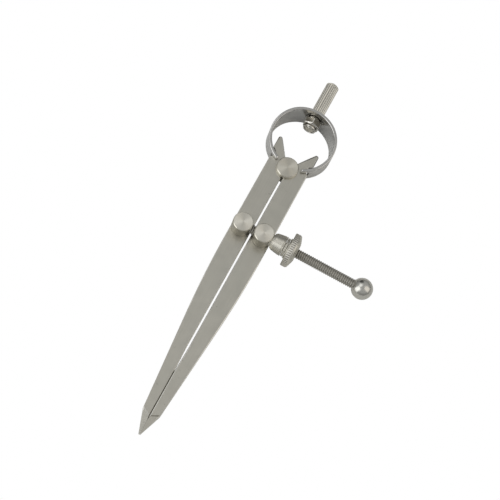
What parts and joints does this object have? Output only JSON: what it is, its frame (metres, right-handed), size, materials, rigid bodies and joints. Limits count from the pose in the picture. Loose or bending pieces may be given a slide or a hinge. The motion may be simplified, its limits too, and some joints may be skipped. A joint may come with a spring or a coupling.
{
  "type": "flat-leg spring divider",
  "caption": "Steel spring divider: two pointed flat legs pivoting on a stud under a round bow spring, opened by a knurled nut on a cross screw, with a knurled handle.",
  "frame": {"origin": "centre of the fulcrum stud's back face, on the axis both legs swing about", "axes": "+Y from the points towards the handle, +Z out of the front of the flat legs, +X towards the ball on the adjusting screw"},
  "size_m": [0.0809, 0.2043, 0.0217],
  "materials": {
    "leg_steel": "fine satin ground",
    "turned_steel": "fine turned",
    "spring_steel": "polished strip",
    "nut_steel": "bright machined",
    "screw_steel": "cut thread",
    "polished_steel": "mirror polished"
  },
  "bodies": {
    "fulcrum_and_bow": {"fulcrum_stud": "turned_steel", "bow_spring": "spring_steel", "knurled_handle": "turned_steel", "handle_washer": "nut_steel", "handle_lock_nut": "nut_steel"},
    "left_leg": {"left_leg": "leg_steel"},
    "right_leg": {"right_leg": "leg_steel"},
    "left_post_and_screw": {"left_post": "turned_steel", "left_post_washer": "turned_steel", "left_post_clip": "spring_steel", "adjusting_screw": "screw_steel", "screw_pin": "screw_steel", "stop_ball": "polished_steel"},
    "right_post_and_bush": {"right_post": "turned_steel", "right_post_washer": "turned_steel", "right_post_clip": "spring_steel", "thrust_bush": "turned_steel", "thrust_washer": "turned_steel"},
    "nut": {"knurled_nut": "turned_steel"}
  },
  "joints": [
    {"name": "left_leg_swing", "type": "hinge", "parent": "fulcrum_and_bow", "child": "left_leg", "pos_m": [0, 0, 0.0038], "axis": [0, 0, -1], "range_deg": [0, 22.5], "deforming": ["bow_spring"]},
    {"name": "right_leg_swing", "type": "hinge", "parent": "fulcrum_and_bow", "child": "right_leg", "pos_m": [0, 0, 0.0038], "axis": [0, 0, 1], "range_deg": [0, 22.5], "deforming": ["bow_spring"]},
    {"name": "left_post_turn", "type": "hinge", "parent": "left_leg", "child": "left_post_and_screw", "pos_m": [-0.00565, -0.039, 0.0097], "axis": [0, 0, 1], "range_deg": [0, 22.5]},
    {"name": "right_post_turn", "type": "hinge", "parent": "right_leg", "child": "right_post_and_bush", "pos_m": [0.00565, -0.039, 0.0097], "axis": [0, 0, -1], "range_deg": [0, 22.5]},
    {"name": "nut_spin", "type": "hinge", "parent": "right_post_and_bush", "child": "nut", "pos_m": [0.0207, -0.039, 0.0097], "axis": [1, 0, 0], "range_deg": [0, 9864]}
  ],
  "couplings": [
    {"joint": "left_leg_swing", "follows": "nut_spin", "ratio": 0.002281},
    {"joint": "right_leg_swing", "follows": "nut_spin", "ratio": 0.002281},
    {"joint": "left_post_turn", "follows": "nut_spin", "ratio": 0.002281},
    {"joint": "right_post_turn", "follows": "nut_spin", "ratio": 0.002281}
  ]
}
